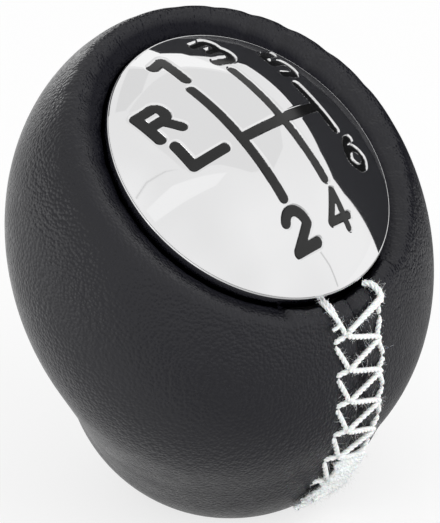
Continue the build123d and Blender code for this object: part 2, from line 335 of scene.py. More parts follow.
def soft_lamp(name, way, size, power):
    """A rectangular lamp that looks at the cap from the given direction, with its long side level."""
    way = Vector(way).normalized()
    light = bpy.data.lights.new(name, "AREA")
    light.shape = "RECTANGLE"
    light.size, light.size_y = size
    light.energy = power
    lamp = bpy.data.objects.new(name, light)
    turned = way.to_track_quat("Z", "Y").to_matrix().to_4x4()
    lamp.matrix_world = Matrix.Translation(cap_centre + way * LAMP_DISTANCE) @ turned
    lamp.visible_camera = False
    bpy.context.scene.collection.objects.link(lamp)
    return lamp


soft_lamp("seam_lamp", **SEAM_LAMP).visible_glossy = False
soft_lamp("sheen_lamp", **SHEEN_LAMP)
soft_lamp("side_lamp", **SIDE_LAMP)
print("lamp powers:", [lamp["power"] for lamp in (SEAM_LAMP, SHEEN_LAMP, SIDE_LAMP)], "W")

# %% [markdown]
# The black card stands to the right of the knob, and part of it lies on the floor there. Only shiny
# surfaces see it: hidden from the camera and from soft light, it darkens the right of the dome and of the
# leather, and leaves the floor white. The corners of the standing part are given as slopes seen from the
# cap, so its outline in the chrome doesn't depend on how far away it stands.

# %% Black card
CARD_DISTANCE = 0.25
CARD_CORNERS = [
    (-0.42, -0.30), (-0.46, 0.28), (-0.43, 0.38), (-0.27, 0.46), (-0.05, 0.49), (0.20, 0.495), (0.40, 0.50),
    (0.72, 0.90), (1.00, 1.25), (1.19, 1.30), (1.19, -0.30),
]
CARD_ON_FLOOR = [(0.10, -0.13), (0.26, -0.13), (0.26, 0.34), (0.10, 0.14)]
CARD_LIFT = 1.0 * MM
CARD_TONE = (0.017, 0.0175, 0.021, 1)


def only_mirrored(thing):
    """Hide a thing of the studio from the camera and from soft light: only shiny surfaces see it."""
    thing.visible_camera = False
    thing.visible_diffuse = False
    thing.visible_shadow = False


card_mesh = bpy.data.meshes.new("black_card")
standing = [cap_centre + Vector((1, ahead, up)) * CARD_DISTANCE for ahead, up in CARD_CORNERS]
lying = [Vector((x, y, CARD_LIFT)) for x, y in CARD_ON_FLOOR]
corners = len(standing)
card_faces = [tuple(range(corners)), tuple(range(corners, corners + len(lying)))]
card_mesh.from_pydata(standing + lying, [], card_faces)
card_black, _, _ = new_material("card_black", Base_Color=CARD_TONE, Roughness=1.0)
card_mesh.materials.append(card_black)
card = bpy.data.objects.new("black_card", card_mesh)
bpy.context.scene.collection.objects.link(card)
only_mirrored(card)
print("card with", corners, "corners,", CARD_DISTANCE, "m to the right")

# %% [markdown]
# The shift pattern could be set in a typeface, but on a real knob it is cut with a round cutter. So it is
# drawn as the cutter goes: the middle lines of its strokes in millimetres on the cap, with straight runs,
# and arcs through three points. The 3, 4, 5 and 6 are cut with a finer pen, so that they stay open.

# %% Strokes of the shift pattern
COLUMN_PITCH = 7.05
STROKE = 1.1
NUMERAL_HALF_WIDTH = 1.5
UPPER_HALF = 1.9
LOWER_HALF = 2.15
NUMERAL_GAP = 0.55
NUMERAL_CLEAR = NUMERAL_GAP + STROKE / 2
NUMERAL_LEAN = 0.8
GATE_TOP, GATE_BOTTOM, GATE_CROSS = 10.4, -7.2, 1.65
SHORT_TOP, SHORT_BOTTOM = 5.7, -2.2
REVERSE_TOP, REVERSE_REACH = 5.4, 5.0


def arc(start, middle, end, steps=10):
    """Points on the circle through three points."""
    (ax, ay), (bx, by), (cx, cy) = start, middle, end
    d = 2 * (ax * (by - cy) + bx * (cy - ay) + cx * (ay - by))
    a2, b2, c2 = ax * ax + ay * ay, bx * bx + by * by, cx * cx + cy * cy
    ox = (a2 * (by - cy) + b2 * (cy - ay) + c2 * (ay - by)) / d
    oy = (a2 * (cx - bx) + b2 * (ax - cx) + c2 * (bx - ax)) / d
    first, mid, last = (math.atan2(y - oy, x - ox) for x, y in (start, middle, end))
    turn = (last - first) % (2 * math.pi)
    if (mid - first) % (2 * math.pi) > turn:
        turn -= 2 * math.pi
    radius = math.hypot(ax - ox, ay - oy)
    angles = [first + turn * step / steps for step in range(steps + 1)]
    return [(ox + radius * math.cos(angle), oy + radius * math.sin(angle)) for angle in angles]


NUMERALS = {
    "1": [[(-0.6, 0.82), (0.5, 1), (0.2, -1)]],
    "2": [arc((-1, 0.6), (0, 1), (0.8, 0.1)) + [(-1, -1), (1, -1)]],
    "3": [
        [(-0.8, 1)] + arc((0.2, 1), (0.9, 0.55), (0.2, 0.1)) + [(-0.3, 0.1)],
        arc((0.2, 0.1), (1, -0.45), (0.2, -1)) + [(-1, -0.8)],
    ],
    "4": [[(0.5, -1), (0.5, 1), (-1.1, -0.45), (1, -0.45)]],
    "5": [[(1, 1), (-0.8, 1), (-0.9, 0.2)] + arc((0.2, 0.2), (1, -0.4), (0.2, -1)) + [(-1, -0.8)]],
    "6": [
        arc((0.7, 1), (-0.7, 0.4), (-1, -0.31)),
        arc((-1, -0.31), (0, 0.38), (1, -0.31)) + arc((1, -0.31), (0, -1), (-1, -0.31)),
    ],
    "R": [[(-1, -1), (-1, 1)] + arc((0.2, 1), (0.9, 0.5), (0.2, 0)) + [(-1, 0)], [(0.2, 0), (1, -1)]],
}
PENS = {"3": 0.86, "4": 0.74, "5": 0.82, "6": 0.72}


def shift_pattern():
    """Every stroke of the gate and the numerals, in millimetres, each with its share of a full pen."""
    reverse, first, third, fifth = (COLUMN_PITCH * (place - 1.5) for place in range(4))
    end = STROKE / 2
    strokes = [
        [(first, GATE_TOP - end), (first, GATE_BOTTOM + end)],
        [(third, GATE_TOP - end), (third, GATE_BOTTOM + end)],
        [(fifth, SHORT_TOP - end), (fifth, SHORT_BOTTOM + end)],
        [(first, GATE_CROSS), (fifth, GATE_CROSS)],
        [
            (reverse, REVERSE_TOP - end),
            (reverse, GATE_CROSS),
            (reverse + REVERSE_REACH - end, GATE_CROSS),
        ],
    ]
    pens = [1.0] * len(strokes)
    places = {
        "1": (first + 0.5 * NUMERAL_LEAN, GATE_TOP + NUMERAL_CLEAR + UPPER_HALF, UPPER_HALF),
        "2": (first + 0.25 * NUMERAL_LEAN, GATE_BOTTOM - NUMERAL_CLEAR - LOWER_HALF, LOWER_HALF),
        "3": (third + NUMERAL_LEAN, GATE_TOP + NUMERAL_CLEAR + UPPER_HALF, UPPER_HALF),
        "4": (third - 0.75 * NUMERAL_LEAN, GATE_BOTTOM - NUMERAL_CLEAR - LOWER_HALF, LOWER_HALF),
        "5": (fifth + 1.5 * NUMERAL_LEAN, SHORT_TOP + NUMERAL_CLEAR + UPPER_HALF, UPPER_HALF),
        "6": (fifth + 0.75 * NUMERAL_LEAN, SHORT_BOTTOM - NUMERAL_CLEAR - UPPER_HALF, UPPER_HALF),
        "R": (reverse + NUMERAL_LEAN, REVERSE_TOP + NUMERAL_CLEAR + UPPER_HALF, UPPER_HALF),
    }
    for numeral, (x, y, half_height) in places.items():
        for stroke in NUMERALS[numeral]:
            strokes.append([(x + a * NUMERAL_HALF_WIDTH, y + b * half_height) for a, b in stroke])
            pens.append(PENS.get(numeral, 1.0))
    return list(zip(pens, strokes))


strokes = shift_pattern()
print(len(strokes), "strokes in the shift pattern")

# %% [markdown]
# Cutting the grooves with solids would leave knife edges, which no plated cap has. Here everything about
# them follows from one number at each point of the dome: its distance to the nearest middle line. It is
# counted in pens, so that a finer pen makes a narrower groove of the same form.

# %% Distance to the strokes
def distance_to_strokes(points, strokes):
    """How far each point is from the nearest middle line, counted in full pens."""
    nearest = np.full(len(points), np.inf)
    for pen, stroke in strokes:
        for start, end in zip(np.array(stroke), np.array(stroke)[1:]):
            run = end - start
            along = np.clip((points - start) @ run / max(run @ run, 1e-9), 0, 1)
            apart = np.linalg.norm(points - start - along[:, None] * run, axis=1)
            nearest = np.minimum(nearest, apart / pen)
    return nearest


# %% [markdown]
# The cap's mesh is a square net of points laid onto the disc, so that it has no crowded middle as a net
# of rings would have, and lifted onto the dome. Near a stroke the points sink: the wall slopes from the
# dome to the groove's floor, and that slope is what catches the white tent beside the black lines.

# %% Dome with its grooves
NET = 290
GROOVE_TOP = 0.83
GROOVE_FLOOR = 0.20
GROOVE_DEPTH = 0.7 * MM
EDGE_ROUND = 0.32 * MM
dome_centre_out = CAP_DOME - DOME_RADIUS
inner_dome, inner_edge = DOME_RADIUS - EDGE_ROUND, CAP_RADIUS - EDGE_ROUND
round_start = math.asin(inner_edge / inner_dome)


def disc_net(count, radius):
    """A square net of points, pressed round into a disc."""
    a, b = np.meshgrid(np.linspace(-1, 1, count), np.linspace(-1, 1, count), indexing="ij")
    wide = np.abs(a) >= np.abs(b)
    reach = np.where(wide, a, b)
    share = np.where(wide, b, a) / np.where(reach == 0, 1, reach)
    angle = np.where(wide, math.pi / 4 * share, math.pi / 2 - math.pi / 4 * share)
    return np.stack([reach * np.cos(angle), reach * np.sin(angle)], axis=-1).reshape(-1, 2) * radius


def on_dome(flat, depth):
    """Points on the cap lifted onto the dome, and sunk below it by a depth."""
    out_part = np.sqrt(DOME_RADIUS**2 - (flat**2).sum(axis=1))
    ray_out = np.column_stack([flat, out_part]) / DOME_RADIUS
    return ray_out * (DOME_RADIUS - depth)[:, None] + (0, 0, dome_centre_out)


flat = disc_net(NET + 1, DOME_RADIUS * math.sin(round_start))
stroke_distance = distance_to_strokes(flat / MM, strokes)
slope = np.clip((GROOVE_TOP - stroke_distance) / (GROOVE_TOP - GROOVE_FLOOR), 0, 1)
groove = GROOVE_DEPTH * slope**2 * (3 - 2 * slope)
net_faces = grid_faces(NET + 1, NET + 1, False)[:, ::-1]
print(len(flat), "points on the dome, grooves", round(groove.max() / MM, 2), "mm deep")

# %% [markdown]
# The plate's edge is rolled over in a small round to a straight rim, and the back is hollowed as the
# solid's is. All that is round the axis, so it is made of rings that go on from the net's border.

# %% Edge, rim and hollow back of the cap
EDGE_STEPS = 6
RIM_BEVEL = 0.05 * MM
RIM_WALL = 1.7 * MM
CAP_RECESS = 0.65 * MM
BACK_HOLE = 0.5 * MM
round_out = math.sqrt(inner_dome**2 - inner_edge**2) + dome_centre_out


def net_border(count):
    """The net's outermost points, in order round the disc."""
    index = np.arange(count * count).reshape(count, count)
    return np.concatenate([index[:-1, 0], index[-1, :-1], index[:0:-1, -1], index[0, :0:-1]])


cap_points = [on_dome(flat, groove)]
cap_faces = [net_faces]
border = net_border(NET + 1)
rim_directions = flat[border] / np.linalg.norm(flat[border], axis=1)[:, None]
rings = [
    (inner_edge + EDGE_ROUND * math.sin(angle), round_out + EDGE_ROUND * math.cos(angle))
    for angle in np.linspace(round_start, math.pi / 2, EDGE_STEPS)[1:]
]
rings += [
    (CAP_RADIUS, -CAP_RIM_DEPTH + RIM_BEVEL),
    (CAP_RADIUS - RIM_BEVEL, -CAP_RIM_DEPTH),
    (CAP_RADIUS - RIM_WALL, -CAP_RIM_DEPTH),
    (CAP_RADIUS - RIM_WALL, -CAP_RECESS),
    (BACK_HOLE, -CAP_RECESS),
]
last = border
for radius, out_by in rings:
    start = sum(len(block) for block in cap_points)
    cap_points.append(np.column_stack([rim_directions * radius, np.full(len(border), out_by)]))
    ring = np.arange(start, start + len(border))
    cap_faces.append(np.stack([last, ring, np.roll(ring, -1), np.roll(last, -1)], axis=-1))
    last = ring
print(len(rings), "rings from the edge to the back")

# %% [markdown]
# Chrome plate mirrors nearly all light and has hardly a colour of its own. Used chrome is never evenly
# bright, so its polish varies a little from place to place. What makes it look like chrome is the studio
# that it mirrors.

# %% Chrome plate
chrome, chrome_tree, chrome_shader = new_material(
    "chrome_plate", Base_Color=(0.93, 0.93, 0.935, 1), Metallic=1.0, Roughness=0.03
)
haze = noise_over(chrome_tree, 90.0, 3.0)
polish = ramp_between(chrome_tree, haze, "Fac", [(0.3, 0.02), (0.8, 0.06)])
join(chrome_tree, polish, "Color", chrome_shader, "Roughness")
make_piece(
    "chrome_cap_dome", from_cap(np.vstack(cap_points)), np.vstack(cap_faces), chrome, "chrome", "chrome_cap"
)

# %% [markdown]
# The dark fill lies in the grooves, part of the way up. It is a thin skin parallel to the dome, cut a
# little wider than it shows, so that the chrome walls trim it and its edge is as sharp as the walls
# themselves.

# %% Dark fill in the grooves
FILL_DEPTH = 0.40 * MM
FILL_REACH = 0.66
FILL_THICKNESS = 0.25 * MM

kept = net_faces[(stroke_distance[net_faces] < FILL_REACH).all(axis=1)]
used, renumbered = np.unique(kept, return_inverse=True)
fill_points = on_dome(flat[used], np.full(len(used), FILL_DEPTH))
enamel, enamel_tree, enamel_shader = new_material("groove_enamel", Roughness=0.16)
speckle = noise_over(enamel_tree, 900.0, 2.0)
enamel_colour = ramp_between(enamel_tree, speckle, "Fac", [(0.3, 0.003), (0.7, 0.006)])
join(enamel_tree, enamel_colour, "Color", enamel_shader, "Base Color")
fill = make_piece(
    "groove_fill", from_cap(fill_points), renumbered.reshape(kept.shape), enamel, "enamel", "pattern_inlay"
)
thicken = fill.modifiers.new("fill_depth", "SOLIDIFY")
thicken.thickness = FILL_THICKNESS
thicken.offset = -1.0

# %% [markdown]
# The tent's cloth doesn't hang quite flat. Where it turns away from the light the dome shows a pale grey
# patch, and where it is creased a thin line. Each patch is given by the place where it shows on the cap:
# the line of sight is bounced off the dome there, and the cloth is hung where it leads. Only shiny
# surfaces see these pieces of cloth. Two more hang behind the knob and low in front of it, where only the
# leather mirrors them.

# %% Cloth mirrored in the dome
CLOTH_DISTANCE = 0.35
CLOTH_PATCHES = [
    (0.77, [(-12.2, 5.9), (-11.1, 11.5), (-6.1, 13.2), (-3.6, 13.4), (-1.1, 12.6), (2.8, 9.0), (2.8, 2.2),
            (0.3, -1.6), (-2.8, -3.3), (-5.5, -2.4), (-8.0, 0.1), (-11.8, 2.0)]),
    (0.74, [(-12.0, 12.4), (-5.9, 16.5), (-4.5, 14.9), (-8.0, 12.8), (-11.1, 11.9)]),
    (0.97, [(-5.5, 16.8), (-1.5, 17.7), (-1.3, 16.3), (0.6, 14.9), (2.6, 9.8), (-1.1, 13.0), (-3.8, 14.0)]),
    (0.915, [(-17.4, 0.5), (-13.8, 1.1), (-10.5, 0.1), (-8.0, -1.0), (-10.0, -1.6), (-13.8, -1.2),
             (-17.4, -1.2)]),
    (0.62, [(-2.4, -13.2), (-1.6, -15.3), (-1.3, -17.5), (-1.1, -17.5), (-1.4, -15.3), (-2.2, -13.2)]),
    (0.66, [(-17.4, 2.4), (-15.6, 3.2), (-13.4, 3.0), (-12.0, 2.2), (-13.4, 2.85), (-15.6, 3.0),
            (-17.4, 2.2)]),
]
CLOTH_ROUND_KNOB = {
    "back_cloth": (
        0.55, [(-45, 17), (-20, 17), (5, 17), (28, 17), (28, 42), (5, 42), (-20, 42), (-45, 42)]
    ),
    "front_cloth": (
        0.50, [(165, -8), (188, -8), (210, -8), (232, -8), (232, 4), (210, 4), (188, 3), (165, 2)]
    ),
}


def bounced(places):
    """Where the line of sight leads from places on the cap, given in millimetres."""
    on_cap = on_dome(np.array(places) * MM, np.zeros(len(places)))
    normal = (on_cap - (0, 0, dome_centre_out)) / DOME_RADIUS @ cap_axes
    point = from_cap(on_cap)
    sight = np.array(camera.matrix_world.translation) - point
    sight /= np.linalg.norm(sight, axis=1)[:, None]
    return point + (2 * (sight * normal).sum(axis=1)[:, None] * normal - sight) * CLOTH_DISTANCE


def towards(bearings):
    """Places at bearings from straight ahead and heights above level, in degrees, seen from the cap."""
    turn, rise = np.radians(bearings).T
    ways = np.column_stack([np.sin(turn) * np.cos(rise), np.cos(turn) * np.cos(rise), np.sin(rise)])
    return np.array(cap_centre) + ways * CLOTH_DISTANCE


def hang_cloth(name, tone, corners, flat_corners):
    """A piece of cloth with one tone, cut into triangles as its outline lies flat."""
    mesh = bpy.data.meshes.new(name)
    triangles = tessellate_polygon([[Vector((x, y, 0)) for x, y in flat_corners]])
    mesh.from_pydata([tuple(corner) for corner in corners], [], triangles)
    material = bpy.data.materials.new(name)
    material.use_nodes = True
    tree = material.node_tree
    glow = add_node(tree, "ShaderNodeEmission", {"Color": (tone, tone, tone, 1), "Strength": 1.0})
    join(tree, glow, "Emission", tree.nodes["Material Output"], "Surface")
    mesh.materials.append(material)
    hung = bpy.data.objects.new(name, mesh)
    bpy.context.scene.collection.objects.link(hung)
    only_mirrored(hung)


for number, (tone, places) in enumerate(CLOTH_PATCHES):
    hang_cloth("cloth_" + str(number), tone, bounced(places), places)
for name, (tone, bearings) in CLOTH_ROUND_KNOB.items():
    hang_cloth(name, tone, towards(bearings), bearings)
print(len(CLOTH_PATCHES) + len(CLOTH_ROUND_KNOB), "pieces of cloth")

# %% [markdown]
# The leather. The solid gives its smooth form; the real skin is stretched over the head and gathered
# under the cap, so it needs a mesh of its own. Rays from outside towards the heart of the knob feel out
# the solid, column by column, from the cap's edge down to the foot, and each column keeps its place on
# the cap's circle. That makes the pleats easy: they run down the columns and fade with the distance from
# the edge. All of them sink into the form, so the leather stays inside the solid's box.

# %% Leather felt out from the solid
COLUMNS = 440
ROWS = 196
HEART = Vector((0, 0.5, 24.0)) * MM
RIM_RADIUS = 18.32 * MM
RIM_OUT = -0.5 * MM
FOOT_RADIUS = 9.7 * MM
SEAM_HALF_WIDTH = 0.35 * MM
HEAD_REACH = 20.0 * MM
FEELER_LENGTH = 100.0 * MM

solid_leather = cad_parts["leather_cover"]
feeler = BVHTree.FromObject(solid_leather, bpy.context.evaluated_depsgraph_get())


def feel(origin, way):
    """The first point of the leather's solid seen from outside along a ray to the origin."""
    return feeler.ray_cast(origin + way * FEELER_LENGTH, -way)[0]


angles = math.radians(-90) + (np.arange(COLUMNS) + 0.5) * 2 * math.pi / COLUMNS
rim_ring = from_cap(
    np.column_stack([RIM_RADIUS * np.cos(angles), RIM_RADIUS * np.sin(angles), np.full(COLUMNS, RIM_OUT)])
)
foot_ring = np.column_stack([FOOT_RADIUS * np.cos(angles), FOOT_RADIUS * np.sin(angles), np.zeros(COLUMNS)])
skin = np.zeros((ROWS, COLUMNS, 3))
for column in range(COLUMNS):
    first = (Vector(rim_ring[column]) - HEART).normalized()
    last_way = (Vector(foot_ring[column]) - HEART).normalized()
    for row in range(ROWS):
        way = first.slerp(last_way, row / (ROWS - 1))
        aside = 0.0
        if abs(way.x) * HEAD_REACH < SEAM_HALF_WIDTH and way.y < 0:
            aside = math.copysign(SEAM_HALF_WIDTH, way.x)
        place = feel(HEART + Vector((aside, 0, 0)), way)
        skin[row, column] = (0, 0, 0) if place is None else place - Vector((aside, 0, 0))
print("rays that missed:", int((np.abs(skin).sum(axis=2) == 0).sum()))

# %% [markdown]
# Pulled over a hard head, leather doesn't follow each hollow. Towards the viewer the skin runs straight
# across the waist, and that is found as a string pulled tight over each column would find it. A cloth
# simulation could do it too, but a glued cover has nothing left to hang.

# %% Leather pulled across the waist
SKIN_SMOOTHING = 3
BRIDGE_ROW = 70
BRIDGE_WAY = (-0.76, -0.65)
BRIDGE_FROM = 0.28
BRIDGE_FULL = 0.62
BRIDGE_SMOOTHING = 20


def smoothed(grid, passes):
    """The grid with each inner point drawn towards the mean of its neighbours."""
    for _ in range(passes):
        mean = (np.roll(grid, 1, axis=1) + np.roll(grid, -1, axis=1)) / 4
        mean[1:-1] += (grid[:-2] + grid[2:]) / 4
        grid = np.concatenate([grid[:1], 0.5 * grid[1:-1] + 0.5 * mean[1:-1], grid[-1:]])
    return grid


def pulled_tight(reach, turn):
    """The reach of a string pulled tight over a column of points, given by reach and angle."""
    x, y = reach * np.cos(turn), reach * np.sin(turn)
    held = []
    for point in range(len(reach)):
        while len(held) > 1:
            a, b = held[-2:]
            if (x[b] - x[a]) * (y[point] - y[a]) - (y[b] - y[a]) * (x[point] - x[a]) > 0:
                break
            held.pop()
        held.append(point)
    tight = reach.copy()
    for a, b in zip(held, held[1:]):
        across = np.cos(turn[a:b]) * (y[b] - y[a]) - np.sin(turn[a:b]) * (x[b] - x[a])
        tight[a:b] = (x[a] * y[b] - y[a] * x[b]) / across
    return tight


def bridged(grid):
    """The grid with the hollow of the waist filled where the leather is pulled straight across it."""
    spoke = grid[BRIDGE_ROW:] - np.array(HEART)
    reach = np.linalg.norm(spoke, axis=2)
    way = spoke / reach[:, :, None]
    step = np.arccos(np.clip((way[1:] * way[:-1]).sum(axis=2), -1, 1))
    turn = np.vstack([np.zeros((1, COLUMNS)), np.cumsum(step, axis=0)])
    tight = np.array([pulled_tight(reach[:, column], turn[:, column]) for column in range(COLUMNS)]).T
    level = grid[BRIDGE_ROW:, :, :2] / np.linalg.norm(grid[BRIDGE_ROW:, :, :2], axis=2, keepdims=True)
    share = np.clip((level @ np.array(BRIDGE_WAY) - BRIDGE_FROM) / (BRIDGE_FULL - BRIDGE_FROM), 0, 1)
    raised = smoothed((tight - reach) * share**2 * (3 - 2 * share), BRIDGE_SMOOTHING)
    print("waist filled by up to", round(raised.max() / MM, 2), "mm")
    return np.concatenate([grid[:BRIDGE_ROW], grid[BRIDGE_ROW:] + way * raised[:, :, None]])


skin = smoothed(bridged(smoothed(skin, SKIN_SMOOTHING)), 1)
pulled_skin = skin

# %% [markdown]
# Where the leather is gathered under the cap it lies in shallow pleats, deepest on the far right, and its
# edge rolls down into the gap round the cap. Down the seam it dips. All of that is one depth at each
# point, by which the skin is sunk along its normal. Real pleats are never even, so their spacing drifts
# and their depth sways.

# %% Pleats, rolled edge and seam
PLEATS = 30
PLEAT_DEPTH = 0.55 * MM
PLEAT_REACH = 4.0 * MM
PLEAT_DRIFT = [(1.1, 3, 0.4), (0.9, 5, 2.0)]
PLEAT_LEAST = 0.35
PLEATS_DEEPEST = math.radians(35)
PLEAT_SWAY = (0.4, 2.7, 1.0)
EDGE_ROLL = 0.95 * MM
EDGE_ROLL_REACH = 1.6 * MM
SEAM_DEPTH = 0.5 * MM
SEAM_SPREAD = 0.32 * MM


def grid_normals(grid):
    """Outward normals of a wrapped grid of points."""
    round_way = np.roll(grid, -1, axis=1) - np.roll(grid, 1, axis=1)
    down_way = np.gradient(grid, axis=0)
    normal = np.cross(down_way, round_way)
    return normal / np.linalg.norm(normal, axis=2, keepdims=True)


normals = grid_normals(skin)
runs = np.linalg.norm(np.diff(skin, axis=0), axis=2)
from_rim = np.vstack([np.zeros((1, COLUMNS)), np.cumsum(runs, axis=0)])
phase = PLEATS * angles
for size, turns, start in PLEAT_DRIFT:
    phase = phase + size * np.sin(turns * angles + start)
furrow = (0.5 + 0.5 * np.cos(phase)) ** 3
strength = PLEAT_LEAST + (1 - PLEAT_LEAST) * np.clip(np.cos(angles - PLEATS_DEEPEST), 0, 1)
size, turns, start = PLEAT_SWAY
sway = 1 - size + size * np.sin(turns * angles + start)
sink = PLEAT_DEPTH * furrow * strength * sway * np.exp(-((from_rim / PLEAT_REACH) ** 2))
sink = sink + EDGE_ROLL * np.exp(-((from_rim / EDGE_ROLL_REACH) ** 2))
driver_side = skin[:, :, 1] < 0
sink = sink + np.where(driver_side, SEAM_DEPTH * np.exp(-((skin[:, :, 0] / SEAM_SPREAD) ** 2)), 0)
skin = skin - normals * sink[:, :, None]
print("leather sunk by up to", round(sink.max() / MM, 2), "mm")

# %% [markdown]
# Both edges of the skin are turned in, the upper one under the cap and the lower one under the sleeve's
# flange. A few more rows of points make the lip and the hem, so that no bare edge of the skin shows.

# %% Lip and hem
LIP_RADIUS = 18.25 * MM
LIP_DEPTHS = (1.3 * MM, 0.6 * MM, 0.2 * MM)
FOOT_HOLE = 8.75 * MM
HEM_DEPTH = 1.5 * MM


def ring_on_cap(radius, out_by):
    """A ring of points round the cap, one for each column."""
    return from_cap(np.column_stack([radius * np.cos(angles), radius * np.sin(angles), out_by]))


edge_out = (skin[0] - np.array(cap_centre)) @ cap_axes[2]
lip = [ring_on_cap(LIP_RADIUS, edge_out - depth) for depth in LIP_DEPTHS]
hem = [
    np.column_stack([FOOT_HOLE * np.cos(angles), FOOT_HOLE * np.sin(angles), np.full(COLUMNS, height)])
    for height in (0.0, HEM_DEPTH)
]
leather_points = np.concatenate([np.array(lip), skin, np.array(hem)])
at_lip, at_hem = np.zeros((len(lip), COLUMNS)), np.tile(from_rim[-1:], (len(hem), 1))
rim_distance = np.concatenate([at_lip, from_rim, at_hem])
print(len(leather_points), "rows of", COLUMNS, "points in the leather")

# %% [markdown]
# Leather grain is a net of tiny raised pebbles with creases between them, about half a millimetre across.
# Cells of a Voronoi texture have that look, and a wider noise makes them uneven. Near the cap's edge the
# skin is stretched into fine creases that run away from the edge, so there a second, drawn-out texture
# takes over. Its coordinates are the angle round the cap and the distance from the edge, which the mesh
# carries as attributes. Modelled pebbles would take millions of faces, so all of this is bumps.

# %% Grain and creases of the leather
leather, leather_tree, leather_shader = new_material("black_leather", Roughness=0.30, IOR=1.45)
place = add_node(leather_tree, "ShaderNodeTexCoord")
pebbles = add_node(
    leather_tree, "ShaderNodeTexVoronoi", {"Scale": 2500.0, "Randomness": 1.0}, feature="F1"
)
uneven = add_node(leather_tree, "ShaderNodeTexNoise", {"Scale": 420.0, "Detail": 4.0, "Roughness": 0.6})
broad = add_node(leather_tree, "ShaderNodeTexNoise", {"Scale": 60.0, "Detail": 3.0})
for texture in (pebbles, uneven, broad):
    join(leather_tree, place, "Object", texture, "Vector")
around = add_node(leather_tree, "ShaderNodeAttribute", attribute_name="round_cap")
creases = add_node(leather_tree, "ShaderNodeTexNoise", {"Scale": 1.0, "Detail": 1.0, "Distortion": 0.2})
join(leather_tree, around, "Vector", creases, "Vector")
near_rim = add_node(leather_tree, "ShaderNodeAttribute", attribute_name="near_rim")
crease_height = add_node(leather_tree, "ShaderNodeMath", operation="MULTIPLY")
join(leather_tree, creases, "Fac", crease_height, 0)
join(leather_tree, near_rim, "Fac", crease_height, 1)
crease_bump = add_node(leather_tree, "ShaderNodeBump", {"Strength": 0.40, "Distance": 0.0003})
join(leather_tree, crease_height, "Value", crease_bump, "Height")
wave_bump = add_node(leather_tree, "ShaderNodeBump", {"Strength": 0.16, "Distance": 0.0006})
join(leather_tree, uneven, "Fac", wave_bump, "Height")
join(leather_tree, crease_bump, "Normal", wave_bump, "Normal")
grain_bump = add_node(leather_tree, "ShaderNodeBump", {"Strength": 0.48, "Distance": 0.00022}, invert=True)
join(leather_tree, pebbles, "Distance", grain_bump, "Height")
join(leather_tree, wave_bump, "Normal", grain_bump, "Normal")
join(leather_tree, grain_bump, "Normal", leather_shader, "Normal")
print(len(leather_tree.nodes), "nodes in the grain")

# %% [markdown]
# Black leather is never quite black: a cold, very dark grey varies broadly over the hide. Its gloss follows
# the uneven grain. Over the last millimetre, where the skin turns in under the cap, its reflection is
# turned down as painted shade, standing in for the shadow in the gap round the cap.

# %% Tone and gloss of the leather
DARK_LEATHER = (0.0064, 0.0064, 0.0098)
LIGHT_LEATHER = (0.0084, 0.0084, 0.0120)
tone = ramp_between(leather_tree, broad, "Fac", [(0.3, DARK_LEATHER), (0.7, LIGHT_LEATHER)])
join(leather_tree, tone, "Color", leather_shader, "Base Color")
gloss = ramp_between(leather_tree, uneven, "Fac", [(0.3, 0.24), (0.7, 0.35)])
join(leather_tree, gloss, "Color", leather_shader, "Roughness")
# Painted shade: the leather's reflection is turned down towards the cap's edge, standing in for the shadow
# of the gap round the cap.
painted_gap_shade = ramp_between(leather_tree, near_rim, "Fac", [(0.77, 0.5), (0.95, 0.10)])
join(leather_tree, painted_gap_shade, "Color", leather_shader, "Specular IOR Level")
print(len(leather_tree.nodes), "nodes with tone and gloss")

# %% [markdown]
# The skin is one grid of points, closed round the knob. It is soft over its padding. The two attributes
# that the creases and the painted shade at the cap's edge need are written onto its points.

# %% Leather skin
CREASES_ROUND = 64.0
CREASE_LENGTH = 6.0 * MM
RIM_FADE = 5.0 * MM
rows = len(leather_points)
cover = make_piece(
    "leather_skin",
    leather_points.reshape(-1, 3),
    grid_faces(rows, COLUMNS, True),
    leather,
    "leather",
    "leather_cover",
)
round_cap = np.stack(
    [
        np.tile(CREASES_ROUND * np.cos(angles), (rows, 1)),
        np.tile(CREASES_ROUND * np.sin(angles), (rows, 1)),
        rim_distance / CREASE_LENGTH,
    ],
    axis=-1,
)
carried = cover.data.attributes.new("round_cap", "FLOAT_VECTOR", "POINT")
carried.data.foreach_set("vector", round_cap.reshape(-1).astype(np.float32))
carried = cover.data.attributes.new("near_rim", "FLOAT", "POINT")
carried.data.foreach_set("value", np.exp(-rim_distance / RIM_FADE).reshape(-1).astype(np.float32))

# %% [markdown]
# The white threads are sewn from hole to hole, so their paths are lists of points on the leather. Places
# beside the seam are written as millimetres to the right of it, degrees above a hub inside the knob, and
# the lift off the leather. A ray at that angle finds the point, so a thread lies on the skin whatever its
# form.

# %% Places beside the seam
HUB_HEIGHT = 18.0 * MM
skin_faces = grid_faces(ROWS, COLUMNS, True)
dressed = BVHTree.FromPolygons(pulled_skin.reshape(-1, 3).tolist(), skin_faces.tolist())


def on_seam(x, angle, lift):
    """A point beside the seam, at an angle above the level of the hub, lifted off the leather."""
    way = Vector((0, -math.cos(math.radians(angle)), math.sin(math.radians(angle))))
    place, normal, _, _ = dressed.ray_cast(Vector((x, 0, HUB_HEIGHT)) + way * FEELER_LENGTH, -way)
    return place + normal * lift


def along_seam(places):
    """Points beside the seam, with their places across it in millimetres."""
    return [on_seam(x * MM, angle, lift) for x, angle, lift in places]


print(len(skin_faces), "faces of skin to sew on")

# %% [markdown]
# A row of stitches runs along each edge of the leather: each stitch comes out of a hole, is pulled
# towards the seam, and goes back in at the next hole. One long thread is laced from loop to loop across
# the seam. The left thread starts frayed, with a thin strand beside it and a loose end.

